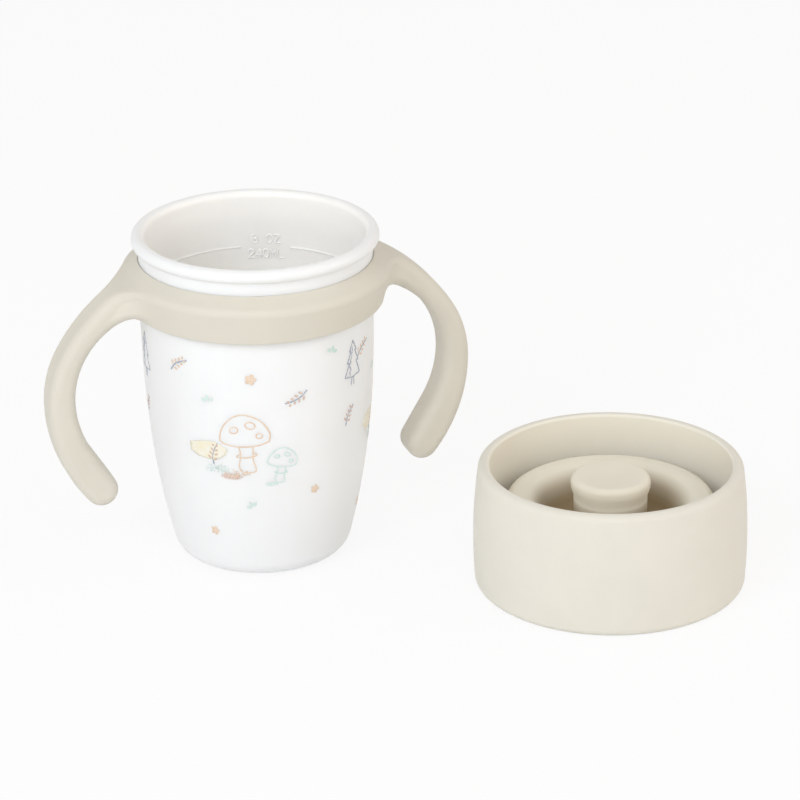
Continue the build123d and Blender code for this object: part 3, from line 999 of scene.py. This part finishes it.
@dataclass
class Print:
    """A light woodland pattern printed round the barrel, in five inks.

    Motifs are drawn in millimetres about their foot or middle and placed on the wall. The same
    glade comes back at each shift along the girth.
    """

    facing: float = -106.4
    girth: float = 34.0
    above: float = 0.05
    below: float = 0.15
    bold: float = 0.42
    fine: float = 0.4
    hair: float = 0.26
    seed: int = 7
    shifts: tuple[float, ...] = (0.0, 62.0, 138.0)
    drawings: dict[str, Drawing] = field(default_factory=dict)
    rng: np.random.Generator = field(init=False)

    def toadstool(self, ink: str, at: Spot, size: float, turn: float) -> None:
        """A toadstool in outline: domed cap, curled brim, stem, skirt, and three spots."""
        left = [(-5, 7), (-5.6, 8.2), (-4.6, 11), (-2, 13.4)]
        right = [(1, 13.7), (4, 12), (5.6, 9), (5.3, 7)]
        brim = [(-5, 7), (-2.6, 6.3), (0, 6.1), (3, 6.3), (5.3, 7)]
        down = [(-1.5, 6.2), (-1.3, 4), (-1.9, 1.4), (-1.4, 0)]
        up = [(0.4, -0.3), (1.8, 0.2), (1.4, 3), (1.7, 6.2)]
        skirt = [(-1.5, 4.4), (-2.2, 3.7), (0, 3.4), (2.3, 3.9), (1.6, 4.6)]
        lines = [smooth_line(knots) for knots in (left + right, brim, down + up, skirt)]
        lines += [oval(-2.2, 10.2, 0.95, 0.75, 20), oval(1.5, 11.2, 1.1, 0.8, -15)]
        for line in lines + [oval(3.3, 8.6, 0.7, 0.6)]:
            self.drawings[ink].line(placed(line, at, size, turn), self.bold)

    def blossom(self, at: Spot, size: float) -> None:
        """A small filled flower: five petals, radius 0.62 + 0.38 |cos 2.5a| of its size."""
        angle = np.linspace(0, 2 * math.pi, 51) + 0.3
        petals = polar(0.62 + 0.38 * np.abs(np.cos(2.5 * angle)), angle)
        self.drawings["tan"].fill(placed(petals, at, size))

    def sprig(self, ink: str, at: Spot, turn: float, size: float = 1.0) -> None:
        """A bent slate twig with four pairs of inked leaves that shorten towards its end."""
        stem = smooth_line([(-3.6, -0.4), (-1.5, 0.25), (1, 0.2), (3.7, -0.5)])
        self.drawings["slate"].line(placed(stem, at, size, turn), self.bold)
        for number in range(4):
            x, reach = number * 1.5 - 1.65, 1.25 - number * 0.16
            for sign in (-1, 1):
                leaf = oval(x, sign * reach * 0.85 + 0.15, reach * 0.62, 0.34, sign * 55)
                self.drawings[ink].fill(placed(leaf, at, size, turn))

    def buds(self, at: Spot, turn: float) -> None:
        """Three small drops in a fan."""
        for lean in (turn - 62, turn, turn + 62):
            self.drawings["mint"].fill(placed(oval(1.25, 0.0, 0.85, 0.5), at, turn=lean))

    def fir(self, at: Spot) -> None:
        """A fir tree: three zigzag tiers, a trunk, and short needles down one side."""
        slate = self.drawings["slate"]
        tiers = [(0, 14), (1.7, 10.8), (0.9, 10.9), (2.7, 7.2), (1.6, 7.4), (3.6, 3.0), (0, 2.4)]
        for side in (-1, 1):
            path = resample(np.array([(side * x, y) for x, y in tiers], float), 60)
            slate.line(placed(path + self.rng.normal(0, 0.05, path.shape), at), self.fine)
        for x in (-0.5, 0.5):
            trunk = resample(np.array([(x, 2.4), (x * 1.2, 0)], float), 6)
            slate.line(placed(trunk, at), self.fine)
        for y in np.arange(3.4, 12.6, 0.62):
            x = 0.28 * (y - 13.6) * self.rng.uniform(0.25, 0.9)
            needle = resample(np.array([(x, y), (x - 0.1, y - 0.75)], float), 5)
            slate.line(placed(needle, at), self.hair)

    def cloud(self, ink: str, at: Spot, a: float, b: float) -> None:
        """A soft patch with a frayed edge: an oval whose radius wavers by about a tenth."""
        angle = np.linspace(0, 2 * math.pi, 97)
        waver = sum(
            self.rng.uniform(0.015, 0.05) * np.sin(k * angle + self.rng.uniform(0, 6))
            for k in (3, 5, 8, 13, 21)
        )
        spots = oval(0.0, 0.0, a, b, count=len(angle)) * (1 + waver)[:, None]
        self.drawings[ink].fill(placed(spots, at))

    def dots(self, ink: str, at: Spot, a: float, b: float, count: int) -> None:
        """Fine dots strewn over an oval, denser in its middle."""
        for _ in range(count):
            share, angle = self.rng.uniform(0, 1) ** 0.7, self.rng.uniform(0, 2 * math.pi)
            x, y = at[0] + a * share * math.cos(angle), at[1] + b * share * math.sin(angle)
            self.drawings[ink].fill(oval(x, y, 0.2, 0.2, count=9))

    def glade(self, shift: float) -> None:
        """One glade: toadstools on soft ground, twigs, blossoms, buds and a fir."""
        self.cloud("sand", (shift - 16.5, 44.5), 6.2, 3.0)
        self.dots("mint", (shift - 13.5, 38.6), 4.6, 1.5, 60)
        self.dots("tan", (shift - 7.2, 37.6), 4.2, 1.4, 50)
        self.sprig("rust", (shift - 14.5, 43.6), 78.0, 0.95)
        self.toadstool("tan", (shift - 4.0, 38.4), 1.35, 4.0)
        self.toadstool("mint", (shift + 5.6, 34.6), 0.82, -7.0)
        self.cloud("rust", (shift - 9.4, 36.4), 3.0, 0.95)
        self.cloud("mint", (shift + 3.2, 33.9), 2.0, 0.55)
        for x, y, size in ((-2.5, 68.5, 1.75), (-17.0, 16.5, 1.6), (17.5, 30.0, 1.5)):
            self.blossom((shift + x, y), size)
        self.sprig("rust", (shift + 11.0, 61.5), -152.0)
        self.sprig("tan", (shift - 25.5, 70.5), 35.0)
        for x, y, turn in ((-15.5, 60.5, 100.0), (22.5, 73.5, 70.0), (-3.0, 26.0, 120.0)):
            self.buds((shift + x, y), turn)
        self.fir((shift + 31.5, 60.5))
        self.sprig("rust", (shift + 30.0, 51.0), 62.0, 0.9)

    def build(self) -> None:
        """Draws every motif and makes one piece for each ink."""
        wall = Barrel(*cup_side(), self.facing, self.girth)
        self.drawings = {name: Drawing(wall, self.above, self.below) for name in INKS}
        self.rng = np.random.default_rng(self.seed)
        for shift in self.shifts:
            self.glade(shift)
        for name, ink in INKS.items():
            shell = self.drawings[name].shell
            piece = shell.piece(f"print_{name}", ink.material(), weld=0.001)
            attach(piece, "cup")


# ---- cup and lid


@dataclass
class PlainNodes:
    """The turned mouldings whose solids already have their final shape."""

    finishes: tuple[tuple[str, Moulding], ...] = (
        ("cup_body", CUP_WHITE),
        ("lid_collar", LID_BEIGE),
        ("seal_ring", SILICONE),
        ("valve_disc", SILICONE),
    )

    def build(self) -> None:
        """Gives each node the material of its finish."""
        made: dict[str, bpy.types.Material] = {}
        for node, finish in self.finishes:
            if finish.name not in made:
                made[finish.name] = finish.material()
            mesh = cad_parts[node].data
            mesh.materials.clear()
            mesh.materials.append(made[finish.name])
            log.info("%s: %s", node, finish.name)


# ---- studio


@dataclass(frozen=True)
class Lamp:
    """A soft round lamp: its place in metres, its power in watts and its colour."""

    name: str
    place: Point
    power: float
    colour: Colour


@dataclass
class Studio:
    """The camera at the photograph's angle, the pale floor and the soft lamps."""

    camera_place: Point = (-0.29353, -0.9992, 0.48579)
    heading: float = 18.709
    pitch: float = 22.8697
    roll: float = -0.66614
    lens: float = 167.842
    sensor: float = 36.0
    horizon: float = 0.77
    zenith: float = 0.6
    warmth: Colour = (1.0, 0.97, 0.93)
    floor_tone: Colour = (0.9, 0.9, 0.9)
    floor_white: float = 0.86
    lamp_aim: Point = (0.03, -0.02, 0.04)
    lamp_size: float = 0.8
    lamps: tuple[Lamp, ...] = (
        Lamp("key", (-1.0, -0.85, 0.9), 7.9, (0.86, 0.93, 1.0)),
        Lamp("front", (-0.25, -1.15, 0.8), 3.0, (1.0, 0.975, 0.94)),
        Lamp("fill", (1.2, -0.5, 0.6), 2.7, (1.0, 0.91, 0.82)),
    )

    def camera(self) -> None:
        """Sets the camera.

        The view direction turns heading degrees from +Y towards +X and falls by pitch. The picture
        is turned about that direction by roll.
        """
        turn, fall, lean = (math.radians(v) for v in (self.heading, self.pitch, self.roll))
        along = Vector((math.sin(turn), math.cos(turn), 0.0))
        ahead = along * math.cos(fall) - Vector((0.0, 0.0, math.sin(fall)))
        level = Vector((math.cos(turn), -math.sin(turn), 0.0))
        upright = level.cross(ahead)
        right = level * math.cos(lean) + upright * math.sin(lean)
        above = upright * math.cos(lean) - level * math.sin(lean)
        data = bpy.data.cameras.new("camera")
        data.lens = self.lens
        data.sensor_width = self.sensor
        item = bpy.data.objects.new("camera", data)
        axes = Matrix((right, above, -ahead)).transposed().to_4x4()
        item.matrix_world = Matrix.Translation(self.camera_place) @ axes
        bpy.context.scene.collection.objects.link(item)
        bpy.context.scene.camera = item

    def lamp(self, lamp: Lamp) -> None:
        """Adds a lamp that faces the middle of the object."""
        data = bpy.data.lights.new(lamp.name, "AREA")
        data.shape = "DISK"
        data.size = self.lamp_size
        data.energy = lamp.power
        data.color = lamp.colour
        item = bpy.data.objects.new(lamp.name, data)
        aim = (Vector(self.lamp_aim) - Vector(lamp.place)).to_track_quat("-Z", "Y")
        item.matrix_world = Matrix.Translation(lamp.place) @ aim.to_matrix().to_4x4()
        bpy.context.scene.collection.objects.link(item)

    def floor(self) -> None:
        """A round floor that takes the shadows, nearly white to direct, mirror and glass rays."""
        made, graph, _ = blank_material("floor_white", self.floor_tone)
        made.node_tree.nodes.clear()
        matt = graph.node("ShaderNodeBsdfDiffuse", in_Color=opaque(self.floor_tone))
        white = graph.node("ShaderNodeEmission", in_Strength=1.0)
        path = graph.node("ShaderNodeLightPath").outputs
        seen = graph.sum("MAXIMUM", path["Is Camera Ray"], path["Is Glossy Ray"])
        seen = graph.sum("MAXIMUM", seen, path["Is Transmission Ray"])
        share = graph.product(seen, self.floor_white)
        mix = graph.node("ShaderNodeMixShader")
        for number, part in enumerate((share, matt.outputs[0], white.outputs[0])):
            graph.feed(mix.inputs[number], part)
        out = graph.node("ShaderNodeOutputMaterial")
        graph.feed(out.inputs["Surface"], mix.outputs[0])
        angle = np.linspace(0, 2 * math.pi, 96, endpoint=False)[:, None]
        radius = np.array([[0.0, 300.0, 900.0, 3000.0]])
        shell = Shell()
        shell.add(polar(radius, angle, 0.0), wrap_rows=True)
        shell.piece("floor", made, weld=0.01)

    def world(self) -> None:
        """A soft surrounding light, seen as white."""
        made = bpy.data.worlds.new("studio")
        bpy.context.scene.world = made
        made.use_nodes = True
        graph = Graph(made.node_tree)
        back = made.node_tree.nodes["Background"]
        seen = graph.node("ShaderNodeLightPath").outputs["Is Camera Ray"]
        way = graph.parts(graph.node("ShaderNodeTexCoord").outputs["Generated"])
        light = graph.span(way["Z"], 0.05, 0.95, self.horizon, self.zenith)
        graph.feed(back.inputs["Color"], graph.blend(seen, opaque(self.warmth), opaque((1, 1, 1))))
        level = graph.node("ShaderNodeMix", data_type="FLOAT")
        for number, part in ((0, seen), (2, light), (3, 1.0)):
            graph.feed(level.inputs[number], part)
        graph.feed(back.inputs["Strength"], level.outputs[0])

    def build(self) -> None:
        """Sets up the whole studio."""
        self.camera()
        self.floor()
        self.world()
        for lamp in self.lamps:
            self.lamp(lamp)
        bpy.context.scene.view_settings.view_transform = "Standard"


def main() -> None:
    """Builds the shared node groups, the studio, the finishes and every piece in order."""
    logging.basicConfig(level=logging.INFO, format="%(name)s %(message)s")
    for build_group in (moulded_group, ink_group, moat_shade_group, inner_light_group):
        build_group()
    Studio().build()
    PlainNodes().build()
    HandleRing().build()
    FillMarks().build()
    Print().build()


if __name__ == "__main__":
    main()
